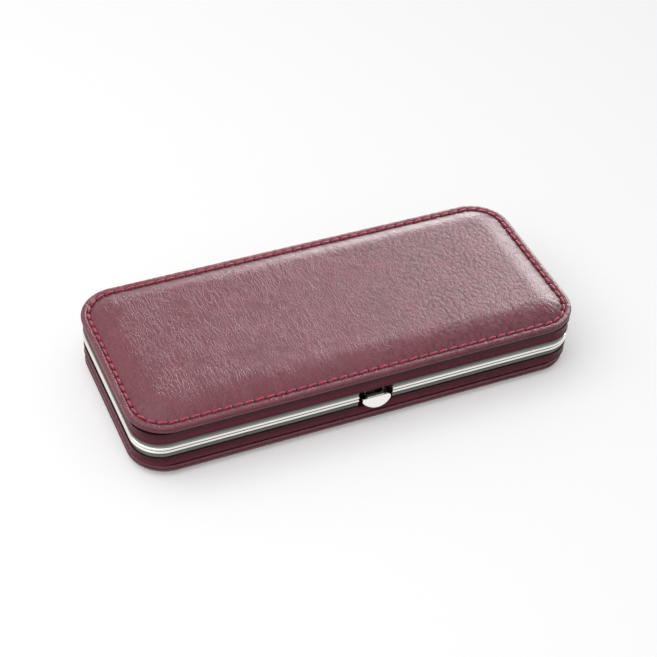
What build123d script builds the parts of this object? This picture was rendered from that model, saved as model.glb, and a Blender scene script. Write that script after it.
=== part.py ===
from build123d import *
import os
from math import asin, cos, radians, sin

# A closed, frame-type manicure case that lies flat: +Z is up, X runs along its length, and the
# clasp faces -Y. The origin is the centre of the resting face under the lower cover.
# Both halves are drawn outwards from the parting plane between the two metal rims; the lower
# half is mirrored, and everything is lifted onto the resting face when it is written.
# "Inset" is the distance inwards from the outer edge of the covers.

# Overall size
case_length = 130.0
case_width = 57.0
corner_radius = 11.0       # of the covers, at their outer edge
frame_corner_radius = 9.3  # of the frame and walls, measured at the covers' edge too

# Metal rims
parting_gap = 0.2          # between the two rims when the case is shut
rim_height = 2.5           # top of the metal above the parting plane
rim_inset = 0.7            # outermost line of the bead
bead_radius = 0.42
rim_sheet = 0.5
rim_channel = 1.9          # clear width of the channel that holds the wall
rim_inner_height = 3.0

# Leather-covered wall between rim and cover
lid_wall_height = 6.6      # underside of the flange above the parting plane
base_wall_height = 5.9
wall_inset = 0.75
wall_cove = 0.25           # how far the wall is drawn in at half its height
wall_crease = 0.55         # height of the crease between the wall and the flange
wall_crease_depth = 0.6
wall_thickness = 2.3
wall_tongue = 1.5          # part that stands in the channel
fit = 0.1                  # clearance between seated or glued pieces

# Covers
base_edge_inset = 0.5      # the lower cover is a little smaller all round
backing_sheet = 1.2        # lower leather layer of the stitched flange
backing_inset = 0.2
backing_round = 0.36
flange_width = 2.9         # flat stitched edge
leather = 0.9
cover_round = 0.38         # of the cover's outer edges
lid_crown = 2.3            # rise of the padded middle above the flange
base_crown = 1.7
crown_core_radius = 0.8    # corner radius where the crown has levelled out
board_thickness = 0.8
stitch_inset = 2.15
thread = 0.6

# Inner trays
tray_sheet = 0.5
tray_edge = 0.35           # tray edge's distance from the parting plane

# Rear hinge
hinge_length = 84.0
knuckle_count = 7
knuckle_radius = 1.1
knuckle_gap = 0.2
hinge_pin_radius = 0.55
hinge_axis_outset = 0.35   # beyond the covers' rear edge
leaf_sheet = 0.45
running_gap = 0.06         # radial, between a pin and what turns on it
swing_gap = 0.15           # between pieces that pass each other
hinge_rivet_count = 4
hinge_rivet_radius = 0.35
hinge_rivet_head_radius = 0.55
rivet_radius = 0.6         # of the clasp's rivets
rivet_head_radius = 1.0
rivet_head = 0.3
rivet_fit = 0.04

# Press clasp
clasp_offset = 2.15        # from the middle of the front edge
notch_width = 10.0         # cut through both rims' flanks
tab_width = 9.7
tab_reach = 3.1
tab_corner = 0.8
tab_thickness = 0.7
tab_round = 0.28           # of the face's edge
tab_tilt = 62.0            # degrees below level
arm_end = 0.9              # outer ends of the lever's arms, inwards from the covers' edge
arm_top = 0.05             # above the parting plane
arm_height = 0.7
lever_width = 5.7          # over its two cheeks
lever_sheet = 0.4
pivot_inset = 5.4
pivot_drop = 2.0
pivot_pin_radius = 0.5
barrel_radius = 1.0
hook_gap = 0.5             # hooks behind the rim's flank
hook_depth = 0.5
hook_top = 1.9
hook_nose = 0.45
catch_gap = 0.15
keeper_sheet = 0.5
keeper_lip_low = 0.65
keeper_overhang = 1.0      # of the keeper past each side of the lever
bracket_sheet = 0.5
flange_reach = 3.4         # of the bracket's and the keeper's riveted ends
spring_sheet = 0.2
spring_width = 2.4

# Tool board and leather loops
tool_board_thickness = 0.9
tool_board_gap = 0.4       # around the board, inside the tray
loop_sheet = 0.6
loop_length = 9.0
loop_foot = 1.6
tool_gap = 0.15            # around a tool in its loop
lying_gap = 0.02           # between a stowed tool and what it lies on

# Scissors
scissors_length = 88.0
scissors_steel = 1.5
scissors_end_gap = 4.3     # from the tray's end to the bows
scissors_offset = 2.6      # from the middle of the case
scissors_pivot = 38.0      # from the outer end of the bows
blade_width = 6.6
blade_tip = 0.8
blade_taper = 0.9          # share of the width left one blade's width past the screw
blade_shoulder = 5.0       # from the screw back to where the shank starts
bow_length = 26.0
bow_width = 17.0
bow_bar = 2.4
shank_end = 4.0            # width of a shank where it meets its bow
screw_radius = 1.3
screw_head_radius = 2.1
screw_head = 0.45
screw_slot = 0.5

# Slim tools in the lid
lid_tool_pitch = 12.5
file_length = 100.0
file_width = 6.6
file_tip = 1.2
file_taper = 14.0
file_steel = 1.0
file_handle_length = 36.0
file_handle_height = 2.6
file_handle_corner = 2.6
file_handle_round = 0.65
file_tang = 10.0           # part of the blade inside the handle
tang_width = 4.0
tweezers_length = 84.0
tweezers_width = 7.0
tweezers_end_width = 5.6
tweezers_tip = 2.0
tweezers_tip_offset = 0.6  # to one side, for the slanted tip
tweezers_tip_gap = 0.8
tweezers_steel = 0.9
tweezers_spread = 2.2
tweezers_weld = 9.0
tweezers_bow = 4.2         # from the middle to the arms' widest point
pusher_length = 100.0
pusher_radius = 1.5
spoon_length = 9.0
spoon_width = 5.0
spoon_narrow = 3.5         # width of the other end's spoon
spoon_steel = 1.2
spoon_roundness = 0.45     # corner radius over width

# Values that follow from the ones above
half_gap = parting_gap / 2
wall_height = {"lid": lid_wall_height, "base": base_wall_height}
crown = {"lid": lid_crown, "base": base_crown}
edge_inset = {"lid": 0.0, "base": base_edge_inset}
flange_low = {half: height + backing_sheet for half, height in wall_height.items()}
flange_top = {half: height + leather for half, height in flange_low.items()}
board_top = {half: height + board_thickness for half, height in flange_low.items()}
parting_height = flange_top["base"] + base_crown
crown_inset = corner_radius - crown_core_radius
flank_inset = rim_inset + bead_radius
channel_inset = flank_inset + rim_sheet
leg_inset = channel_inset + rim_channel
seat_inset = leg_inset + rim_sheet
tray_inset = seat_inset + fit
tray_floor = {half: height - tray_sheet for half, height in wall_height.items()}
front = -case_width / 2
rear = case_width / 2
hinge_y = rear + hinge_axis_outset
leaf_y = rear - flank_inset
leaf_rivet_height = (knuckle_radius + swing_gap + rim_height) / 2
knuckle_pitch = hinge_length / knuckle_count
arm_low = arm_top - arm_height
hook_inset = channel_inset + hook_gap
nose_tip = hook_inset + hook_depth + hook_nose
nose_low = keeper_lip_low + keeper_sheet + swing_gap
keeper_half_width = lever_width / 2 + keeper_overhang
ear_inside = lever_width / 2 + swing_gap
ear_outside = ear_inside + bracket_sheet
flange_end = ear_outside + flange_reach
bracket_floor = pivot_drop + barrel_radius + spring_sheet + 2 * swing_gap
bracket_rear = pivot_inset + barrel_radius + swing_gap + bracket_sheet
clasp_rivet_height = (half_gap + rim_sheet + rim_inner_height) / 2
tool_board_top = tray_floor["base"] - tool_board_thickness
clear = case_length        # longer than any cut has to be
tab_inset = arm_end - tab_thickness * sin(radians(tab_tilt))
tray_end = tray_inset + tray_sheet - case_length / 2
scissors_x = tray_end + scissors_end_gap
screw_x = scissors_x + scissors_pivot
scissors_ground = -tool_board_top + lying_gap
scissors_middle = scissors_ground + scissors_steel + lying_gap
scissors_top = scissors_middle + scissors_steel
lid_ground = tray_floor["lid"] - lying_gap
slim_tool_x = tray_end + tray_inset


# ---- shared shapes

def outline(inset, corner=corner_radius):
    """The case's rounded rectangle, moved inwards."""
    return RectangleRounded(case_length - 2 * inset, case_width - 2 * inset, corner - inset)


def around(section, corner=corner_radius):
    """Carry a section, drawn as (inset, height), round the edge of the case."""
    front_plane = Plane(origin=(0, front, 0), x_dir=(0, 1, 0), z_dir=(1, 0, 0))
    return sweep(front_plane * section, path=outline(0, corner).wire())


def plate(inset, low, high, corner=corner_radius):
    return Pos(0, 0, low) * extrude(outline(inset, corner), high - low)


def rectangle(inset0, inset1, low, high):
    """A rectangle in a section."""
    middle = Pos((inset0 + inset1) / 2, (low + high) / 2)
    return middle * Rectangle(inset1 - inset0, high - low)


def block(x0, x1, y0, y1, z0, z1):
    """A box between two corners."""
    size = Box(x1 - x0, y1 - y0, z1 - z0, align=(Align.MIN, Align.MIN, Align.MIN))
    return Pos(x0, y0, z0) * size


def clasp_block(half_width, inset0, inset1, z0, z1):
    """A box at the clasp, placed by its insets from the front edge."""
    x0 = clasp_offset - half_width
    x1 = clasp_offset + half_width
    return block(x0, x1, front + inset0, front + inset1, z0, z1)


def rod_x(radius, x0, x1, y, z):
    """A round bar along X."""
    return Pos((x0 + x1) / 2, y, z) * Cylinder(radius, x1 - x0, rotation=(0, 90, 0))


def rod_y(radius, y0, y1, x, z):
    """A round bar along Y."""
    return Pos(x, (y0 + y1) / 2, z) * Cylinder(radius, y1 - y0, rotation=(90, 0, 0))


def lower(shape):
    """The lower half's copy of a shape drawn for the upper half."""
    return mirror(shape, about=Plane.XY)


# ---- where the hinge's and the clasp's fasteners are

def knuckle_spans(half):
    """One half's knuckles along X: the base has the even ones, the lid the odd ones."""
    first = 0 if half == "base" else 1
    starts = [knuckle_pitch * index - hinge_length / 2 for index in range(first, knuckle_count, 2)]
    return [(x + knuckle_gap / 2, x + knuckle_pitch - knuckle_gap / 2) for x in starts]


def hinge_relief():
    """Room for the knuckles to turn, cut along the whole hinge."""
    reach = hinge_length / 2 + knuckle_gap
    return rod_x(knuckle_radius + swing_gap, -reach, reach, hinge_y, 0)


def hinge_rivet_places():
    pitch = hinge_length / hinge_rivet_count
    return [pitch * (index + 0.5) - hinge_length / 2 for index in range(hinge_rivet_count)]


def clasp_rivet_places():
    """One in each riveted end of the bracket or the keeper."""
    reach = ear_outside + flange_reach / 2
    return [clasp_offset - reach, clasp_offset + reach]


def clasp_rivet_holes():
    y0 = front + leg_inset - fit
    y1 = front + seat_inset + keeper_sheet + bracket_sheet
    radius = rivet_radius + rivet_fit
    holes = [rod_y(radius, y0, y1, x, clasp_rivet_height) for x in clasp_rivet_places()]
    return holes[0] + holes[1]


def rivet(radius, head_radius, x, y0, y1, z):
    """A flat rivet from one face to another, its head beyond the second."""
    return rod_y(radius, y0, y1, x, z) + rod_y(head_radius, y1, y1 + rivet_head, x, z)


# ---- one half, drawn for the upper side

def rim(half):
    """Channel of bent sheet with a round bead along its open edge."""
    web_top = half_gap + rim_sheet
    profile = rectangle(flank_inset, channel_inset, half_gap, rim_height)
    profile += rectangle(flank_inset, seat_inset, half_gap, web_top)
    profile += rectangle(leg_inset, seat_inset, half_gap, rim_inner_height)
    bead = Pos(rim_inset + bead_radius, half_gap + bead_radius) * Circle(bead_radius)
    bead -= rectangle(channel_inset, seat_inset, half_gap, rim_height)
    ring = around(profile + bead, frame_corner_radius)

    # The bead is left off where the hinge leaf lies on the flank.
    reach = hinge_length / 2 + knuckle_gap
    ring -= block(-reach, reach, leaf_y, clear, 0, clear)
    ring -= hinge_relief()
    y0 = rear - channel_inset - fit
    for x in hinge_rivet_places():
        ring -= rod_y(hinge_rivet_radius + rivet_fit, y0, rear, x, leaf_rivet_height)

    ring -= clasp_block(notch_width / 2, -clear, leg_inset, -clear, clear)
    if half == "lid":
        ring -= clasp_block(keeper_half_width + fit, channel_inset, tray_inset, 0, nose_low)
    else:
        ring -= clasp_block(ear_outside + fit, channel_inset, tray_inset, 0, clear)
    return ring - clasp_rivet_holes()


def wall(half):
    """Leather-covered strip, creased where it meets the flange; its tongue stands in the rim's channel."""
    tongue_low = half_gap + rim_sheet + fit
    tongue_inset = channel_inset + fit
    low = rim_height + fit
    top = wall_height[half]
    edge = top - wall_crease
    deep = wall_inset + wall_crease_depth
    inner = wall_inset + wall_thickness
    cove = wall_inset + wall_cove
    edges = ThreePointArc((wall_inset, low), (cove, (low + edge) / 2), (wall_inset, edge))
    edges += Polyline((wall_inset, edge), (deep, edge), (deep, top), (inner, top), (inner, low),
                      (wall_inset, low))
    tongue = rectangle(tongue_inset, tongue_inset + wall_tongue, tongue_low, top)
    strip = around(make_face(edges) + tongue, frame_corner_radius)
    if half == "lid":
        return strip - clasp_block(notch_width / 2, -clear, leg_inset, 0, rim_height + fit)
    return strip - clasp_block(notch_width / 2, -clear, leg_inset, 0, rim_inner_height + fit)


def backing(half):
    """Lower leather layer, stitched to the cover all round."""
    sheet = plate(edge_inset[half] + backing_inset, wall_height[half], flange_low[half])
    outer_edges = sheet.edges().filter_by(Axis.Z, reverse=True)
    return fillet(outer_edges, backing_round)


def board_inset(half):
    """Where the covers' leather comes down over the board."""
    return edge_inset[half] + flange_width + leather


def board(half):
    return plate(board_inset(half) + fit, flange_low[half], board_top[half])


def crown_arc(start_inset, start_height, top):
    """Arc of the padded rise, level where it meets the flat middle."""
    run = crown_inset - start_inset
    rise = top - start_height
    radius = (run**2 + rise**2) / (2 * rise)
    half_angle = asin(run / radius) / 2
    middle = (crown_inset - radius * sin(half_angle), top - radius * (1 - cos(half_angle)))
    return ThreePointArc((start_inset, start_height), middle, (crown_inset, top))


def cover(half):
    """Outer leather: a flat stitched edge, then a padded rise over the board."""
    start = edge_inset[half]
    inside = board_inset(half)
    low = flange_low[half]
    flat = flange_top[half]
    top = flat + crown[half]
    edges = Polyline((start, low), (start, flat), (start + flange_width, flat))
    edges += crown_arc(start + flange_width, flat, top)
    edges += Line((crown_inset, top), (crown_inset, top - leather))
    edges += crown_arc(inside, board_top[half], top - leather)
    edges += Polyline((inside, board_top[half]), (inside, low), (start, low))
    section = make_face(edges)
    section = fillet(section.vertices().sort_by(Axis.X)[:2], cover_round)
    section -= Pos(start + stitch_inset, flat) * Rectangle(thread + fit, thread + fit)
    return around(section) + plate(crown_inset, top - leather, top)


def stitching(half):
    """Line of thread in its groove."""
    return around(Pos(edge_inset[half] + stitch_inset, flange_top[half]) * Rectangle(thread, thread))


def padding(half):
    """Foam between the board and the padded leather."""
    low = board_top[half]
    top = flange_top[half] + crown[half] - leather - fit
    start = board_inset(half) + fit
    edges = crown_arc(start, low, top)
    edges += Polyline((crown_inset, top), (crown_inset, low), (start, low))
    return around(make_face(edges)) + plate(crown_inset, low, top)


def tray(half):
    """Suede-covered inner tray, open towards the parting plane."""
    shell = plate(tray_inset, tray_edge, wall_height[half], frame_corner_radius)
    shell -= plate(tray_inset + tray_sheet, 0, tray_floor[half], frame_corner_radius)
    depth = bracket_rear if half == "base" else seat_inset + keeper_sheet
    low = bracket_floor + bracket_sheet if half == "base" else rim_inner_height
    return shell - clasp_block(flange_end + fit, 0, depth + tray_sheet + fit, 0, low + fit)


def hinge_leaf(half):
    """Strip on the rim's flank with its half of the knuckles on its edge."""
    reach = hinge_length / 2
    leaf = block(-reach, reach, leaf_y, leaf_y + leaf_sheet, 0, rim_height)
    leaf -= hinge_relief()
    for x0, x1 in knuckle_spans(half):
        leaf += block(x0, x1, leaf_y, leaf_y + leaf_sheet, 0, rim_height)
        leaf += block(x0, x1, leaf_y, hinge_y, 0, knuckle_radius)
        leaf += rod_x(knuckle_radius, x0, x1, hinge_y, 0)
    leaf -= rod_x(hinge_pin_radius + running_gap, -clear, clear, hinge_y, 0)
    for x in hinge_rivet_places():
        leaf -= rod_y(hinge_rivet_radius + rivet_fit, 0, clear, x, leaf_rivet_height)
    return leaf


def hinge_rivets():
    """Rivets through the rim's flank and the leaf, heads on the leaf."""
    y0 = leaf_y - rim_sheet
    y1 = leaf_y + leaf_sheet
    sizes = (hinge_rivet_radius, hinge_rivet_head_radius)
    return Compound(children=[rivet(*sizes, x, y0, y1, leaf_rivet_height) for x in hinge_rivet_places()])


def clasp_rivets(sheet):
    """Rivets through the rim's inner leg and the sheet that lies on it."""
    y0 = front + leg_inset
    y1 = front + seat_inset + sheet
    sizes = (rivet_radius, rivet_head_radius)
    return Compound(children=[rivet(*sizes, x, y0, y1, clasp_rivet_height) for x in clasp_rivet_places()])


def latch_keeper():
    """Angle plate inside the upper rim; its lip reaches out to the hook."""
    back = seat_inset + keeper_sheet
    keeper = clasp_block(flange_end, seat_inset, back, keeper_lip_low, rim_inner_height)
    lip_high = keeper_lip_low + keeper_sheet
    keeper += clasp_block(keeper_half_width, nose_tip + catch_gap, back, keeper_lip_low, lip_high)
    return keeper - clasp_rivet_holes()


def clasp_bracket():
    """Folded bracket inside the lower rim, with an ear on each side of the lever."""
    edge = tray_edge + fit
    bracket = clasp_block(flange_end, seat_inset, seat_inset + bracket_sheet, edge, rim_inner_height)
    bracket += clasp_block(ear_outside, seat_inset, bracket_rear, edge, bracket_floor + bracket_sheet)
    bracket -= clasp_block(ear_inside, 0, bracket_rear - bracket_sheet, 0, bracket_floor)
    bracket -= rod_x(pivot_pin_radius + rivet_fit, -clear, clear, front + pivot_inset, pivot_drop)
    return bracket - clasp_rivet_holes()


def clasp_pivot_pin():
    x0 = clasp_offset - ear_outside
    x1 = clasp_offset + ear_outside
    return rod_x(pivot_pin_radius, x0, x1, front + pivot_inset, pivot_drop)


# ---- the lever, drawn where it is: its arms below the parting plane, its hooks above

def clasp_spring():
    """Leaf spring: a foot on the bracket's floor, a limb up to the lever's crossbar."""
    half_width = spring_width / 2
    limb = seat_inset - spring_sheet
    foot_end = bracket_rear - bracket_sheet
    foot = clasp_block(half_width, limb, foot_end, -bracket_floor, -bracket_floor + spring_sheet)
    return foot + clasp_block(half_width, limb, seat_inset, -bracket_floor, arm_low)


def clasp_lever():
    """Two cheeks, each an arm with a hook standing on it, joined by a crossbar and the pivot barrel."""
    half_width = lever_width / 2
    y = front + pivot_inset
    lever = clasp_block(half_width, arm_end, pivot_inset, arm_low, arm_top)
    lever += clasp_block(half_width, hook_inset, hook_inset + hook_depth, arm_top, hook_top)
    lever += clasp_block(half_width, hook_inset, nose_tip, nose_low, hook_top)
    lever -= clasp_block(half_width - lever_sheet, -clear, seat_inset - lever_sheet, -clear, clear)
    lever += clasp_block(half_width, pivot_inset - barrel_radius, pivot_inset, -pivot_drop, arm_top)
    lever += rod_x(barrel_radius, clasp_offset - half_width, clasp_offset + half_width, y, -pivot_drop)
    return lever - rod_x(pivot_pin_radius + running_gap, -clear, clear, y, -pivot_drop)


def clasp_tab():
    """Half-moon thumb piece, tilted down, with a neck seated between the lever's arms."""
    half_width = tab_width / 2
    arc = ThreePointArc((-half_width, 0), (0, -tab_reach), (half_width, 0))
    moon = extrude(make_face(arc + Line((half_width, 0), (-half_width, 0))), -tab_thickness)
    moon = fillet(moon.edges().filter_by(Axis.Z), tab_corner)
    moon = fillet(moon.faces().sort_by(Axis.Z)[-1].edges(), tab_round)
    moon = Pos(clasp_offset, front + tab_inset, arm_top) * Rot(tab_tilt, 0, 0) * moon
    neck_width = lever_width / 2 - lever_sheet
    return moon + clasp_block(neck_width, arm_end - fit, arm_end + arm_height, arm_low, arm_top)


# ---- tools and what holds them; the lower board carries the scissors, the lid the slim tools

def tool_board():
    inset = tray_inset + tray_sheet + tool_board_gap
    return plate(inset, tool_board_top, tray_floor["base"], frame_corner_radius)


def loop(x, y, width, height, ground):
    """Leather loop over a tool that lies on a ground facing +Z."""
    x0 = x - loop_length / 2
    x1 = x + loop_length / 2
    inside = width / 2 + tool_gap
    outside = inside + loop_sheet
    foot = outside + loop_foot
    top = ground + height + tool_gap
    strap = block(x0, x1, y - outside, y + outside, ground, top + loop_sheet)
    strap = fillet(strap.edges().filter_by(Axis.X).sort_by(Axis.Z)[-2:], loop_sheet)
    strap += block(x0, x1, y - foot, y + foot, ground, ground + loop_sheet)
    return strap - block(x0, x1, y - inside, y + inside, ground, top)


def scissors_half(side):
    """One blade with its shank and bow; side is +1 or -1, the side the bow is on."""
    half_width = blade_width / 2
    tip = scissors_x + scissors_length
    shoulder = screw_x - blade_shoulder
    widest = screw_x + blade_width
    upper = ThreePointArc((shoulder, half_width), (widest, half_width * blade_taper), (tip, blade_tip / 2))
    under = ThreePointArc((tip, -blade_tip / 2), (widest, -half_width * blade_taper), (shoulder, -half_width))
    ends = Line((tip, blade_tip / 2), (tip, -blade_tip / 2))
    ends += Line((shoulder, -half_width), (shoulder, half_width))
    blade = make_face(upper + under + ends)

    bow_x = scissors_x + bow_length / 2
    bow_y = side * (bow_width / 2 + tool_gap)
    neck_x = bow_x + bow_length / 2 - bow_bar
    neck = shank_end / 2
    root = shoulder + blade_shoulder / 2
    shank = make_face(Polyline((root, -half_width), (root, half_width), (neck_x, bow_y + neck),
                               (neck_x, bow_y - neck), (root, -half_width)))
    low = scissors_ground if side < 0 else scissors_middle
    metal = Pos(0, 0, low) * extrude(blade + shank, scissors_steel)

    ring = Ellipse(bow_length / 2, bow_width / 2)
    ring -= Ellipse(bow_length / 2 - bow_bar, bow_width / 2 - bow_bar)
    metal += Pos(bow_x, bow_y, scissors_ground) * extrude(ring, scissors_top - scissors_ground)
    hole = Cylinder(screw_radius + rivet_fit, clear)
    return Pos(0, scissors_offset, 0) * (metal - Pos(screw_x, 0, 0) * hole)


def scissors_screw():
    """Slotted screw through both blades."""
    shank = Pos(0, 0, scissors_ground) * extrude(Circle(screw_radius), scissors_top - scissors_ground)
    head = Pos(0, 0, scissors_top) * extrude(Circle(screw_head_radius), screw_head)
    slot = Pos(0, 0, scissors_top + screw_head) * Box(2 * screw_head_radius, screw_slot, screw_head)
    return Pos(screw_x, scissors_offset, 0) * (shank + head - slot)


def lid_tool(shape, row):
    """Set a tool, drawn from x = 0 on a ground at z = 0, against the lid's tray; rows run along Y."""
    return Pos(slim_tool_x, row * lid_tool_pitch, lid_ground) * mirror(shape, about=Plane.XY)


def lid_loop(width, height, row, tool_length):
    """Loop over the middle of a lid tool."""
    return lid_tool(loop(tool_length / 2, 0, width, height, 0), row)


def nail_file():
    """Tapered steel blade; its tang is inside the handle."""
    start = file_handle_length - file_tang
    tang = tang_width / 2
    tip = file_tip / 2
    half_width = file_width / 2
    taper = file_length - file_taper
    sides = Polyline((file_length, -tip), (file_length, tip), (taper, half_width), (start, tang),
                     (start, -tang), (taper, -half_width), (file_length, -tip))
    lift = (file_handle_height - file_steel) / 2
    return Pos(0, 0, lift) * extrude(make_face(sides), file_steel)


def nail_file_handle():
    """Moulded grip with a slot for the blade's tang."""
    grip = RectangleRounded(file_handle_length, file_width, file_handle_corner)
    handle = extrude(grip, file_handle_height)
    handle = fillet(handle.edges().filter_by(Axis.Z, reverse=True), file_handle_round)
    lift = (file_handle_height - file_steel) / 2
    start = file_handle_length - file_tang - fit
    slot = block(start, clear, -file_width, file_width, lift, lift + file_steel)
    return Pos(file_handle_length / 2, 0, 0) * handle - slot


def tweezers_arm(upper):
    """One spring arm: welded flat at the back, bowed, and narrowing to a slant tip."""
    low = tweezers_steel if upper else 0.0
    spread = tweezers_spread if upper else 0.0
    bow_x = tweezers_length / 2 + tweezers_bow
    tip_low = low + tweezers_tip_gap if upper else low
    under = Polyline((0, low), (tweezers_weld, low), (bow_x, low + spread), (tweezers_length, tip_low))
    over = Pos(0, tweezers_steel) * under
    ends = Line((0, low), (0, low + tweezers_steel))
    ends += Line((tweezers_length, tip_low), (tweezers_length, tip_low + tweezers_steel))
    section = Plane.XZ * make_face(under + over + ends)
    strip = extrude(section, tweezers_width / 2, both=True)

    half_width = tweezers_width / 2
    end = tweezers_end_width / 2
    tip_start = -tweezers_tip / 2 - tweezers_tip_offset
    plan = Polyline((0, -end), (bow_x, -half_width), (tweezers_length, tip_start),
                    (tweezers_length, tip_start + tweezers_tip), (bow_x, half_width), (0, end), (0, -end))
    return strip & extrude(make_face(plan), clear)


def cuticle_pusher():
    """Round bar with a flat spoon at each end, one wide and one narrow."""
    rod = rod_x(pusher_radius, spoon_length, pusher_length - spoon_length, 0, pusher_radius)
    low = pusher_radius - spoon_steel / 2
    overlap = spoon_length / 4
    for x, width in ((0, spoon_narrow), (pusher_length - spoon_length - overlap, spoon_width)):
        spoon = RectangleRounded(spoon_length + overlap, width, width * spoon_roundness)
        rod += Pos(x + (spoon_length + overlap) / 2, 0, low) * extrude(spoon, spoon_steel)
    return rod


def parts_list():
    """Every node and its shape."""
    tweezers_height = 2 * tweezers_steel + tweezers_spread
    pusher_width = 2 * pusher_radius
    scissors_height = scissors_top - scissors_ground
    loop_x = screw_x + bow_length
    return {
        "lid_cover": cover("lid"),
        "lid_stitching": stitching("lid"),
        "lid_padding": padding("lid"),
        "lid_board": board("lid"),
        "lid_backing": backing("lid"),
        "lid_wall": wall("lid"),
        "lid_rim": rim("lid"),
        "lid_tray": tray("lid"),
        "lid_hinge_leaf": hinge_leaf("lid"),
        "lid_hinge_rivets": hinge_rivets(),
        "latch_keeper": latch_keeper(),
        "keeper_rivets": clasp_rivets(keeper_sheet),
        "base_cover": lower(cover("base")),
        "base_stitching": lower(stitching("base")),
        "base_padding": lower(padding("base")),
        "base_board": lower(board("base")),
        "base_backing": lower(backing("base")),
        "base_wall": lower(wall("base")),
        "base_rim": lower(rim("base")),
        "base_tray": lower(tray("base")),
        "base_hinge_leaf": lower(hinge_leaf("base")),
        "base_hinge_rivets": lower(hinge_rivets()),
        "hinge_pin": rod_x(hinge_pin_radius, -hinge_length / 2, hinge_length / 2, hinge_y, 0),
        "clasp_bracket": lower(clasp_bracket()),
        "bracket_rivets": lower(clasp_rivets(bracket_sheet)),
        "clasp_pivot_pin": lower(clasp_pivot_pin()),
        "clasp_spring": clasp_spring(),
        "clasp_lever": clasp_lever(),
        "clasp_tab": clasp_tab(),
        "tool_board": lower(tool_board()),
        "scissors_blade_left": scissors_half(1),
        "scissors_blade_right": scissors_half(-1),
        "scissors_screw": scissors_screw(),
        "scissors_loop": loop(loop_x, scissors_offset, blade_width, scissors_height, scissors_ground),
        "nail_file": lid_tool(nail_file(), 1),
        "nail_file_handle": lid_tool(nail_file_handle(), 1),
        "file_loop": lid_loop(file_width, file_handle_height, 1, file_length),
        "tweezers_arm_fixed": lid_tool(tweezers_arm(False), 0),
        "tweezers_arm_free": lid_tool(tweezers_arm(True), 0),
        "tweezers_loop": lid_loop(tweezers_width, tweezers_height, 0, tweezers_length),
        "cuticle_pusher": lid_tool(cuticle_pusher(), -1),
        "pusher_loop": lid_loop(pusher_width, pusher_width, -1, pusher_length),
    }


if __name__ == "__main__":
    os.makedirs("parts", exist_ok=True)
    for name, shape in parts_list().items():
        export_step(Pos(0, 0, parting_height) * shape, f"parts/{name}.step")
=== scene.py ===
import math

from collections import namedtuple

import bpy
import numpy as np
from mathutils import Matrix, Vector, noise


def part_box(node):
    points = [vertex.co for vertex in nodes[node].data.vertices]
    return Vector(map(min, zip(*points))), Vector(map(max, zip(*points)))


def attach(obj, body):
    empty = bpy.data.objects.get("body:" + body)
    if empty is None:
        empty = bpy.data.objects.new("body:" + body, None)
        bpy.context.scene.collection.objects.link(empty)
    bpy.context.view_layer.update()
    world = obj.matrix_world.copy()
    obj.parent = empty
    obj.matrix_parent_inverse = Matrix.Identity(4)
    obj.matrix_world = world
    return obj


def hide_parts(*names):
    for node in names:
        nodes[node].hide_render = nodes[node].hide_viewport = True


bl_info = {
    "name": "Manicure case dressing",
    "version": (1, 0, 0),
    "blender": (4, 5, 0),
    "location": "View3D > Sidebar > Manicure case",
    "description": "Dresses a frame-type manicure case in leather, thread, nickel and suede",
    "category": "Add Mesh",
}

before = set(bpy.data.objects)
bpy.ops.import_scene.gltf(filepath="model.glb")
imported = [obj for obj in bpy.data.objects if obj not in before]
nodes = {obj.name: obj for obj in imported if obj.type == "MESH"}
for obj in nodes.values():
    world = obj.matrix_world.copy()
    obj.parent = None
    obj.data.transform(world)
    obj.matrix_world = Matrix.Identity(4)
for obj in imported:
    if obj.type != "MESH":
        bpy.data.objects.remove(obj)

MM = 0.001

# New pieces are modelled in millimetres and scaled to metres when they are finished.
# Each cover's edge is a rounded rectangle. "Inset" is the distance inwards from it.
PARTING_HEIGHT = (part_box("lid_rim")[0][2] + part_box("base_rim")[1][2]) / 2


def linear(hex_colour):
    """An sRGB hex value as a linear colour."""
    channels = [int(hex_colour[i:i + 2], 16) / 255 for i in (0, 2, 4)]
    return tuple(c / 12.92 if c <= 0.04045 else ((c + 0.055) / 1.055) ** 2.4 for c in channels)


Outline = namedtuple("Outline", "half_length half_width radius")


def cover_outline(half, leather):
    """The outline of one cover, in millimetres; the lower one is a little smaller all round."""
    half_length, half_width = (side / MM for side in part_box(f"{half}_cover")[1][:2])
    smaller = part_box("lid_cover")[1][0] / MM - half_length
    return Outline(half_length, half_width, leather.corner_radius / MM - smaller)


def core(edge):
    """Half the straight part of an outline's long and short sides."""
    return edge.half_length - edge.radius, edge.half_width - edge.radius


def opaque(colour):
    """A linear colour with full alpha."""
    return (*colour, 1.0)


# ---- settings that a user would change

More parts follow.
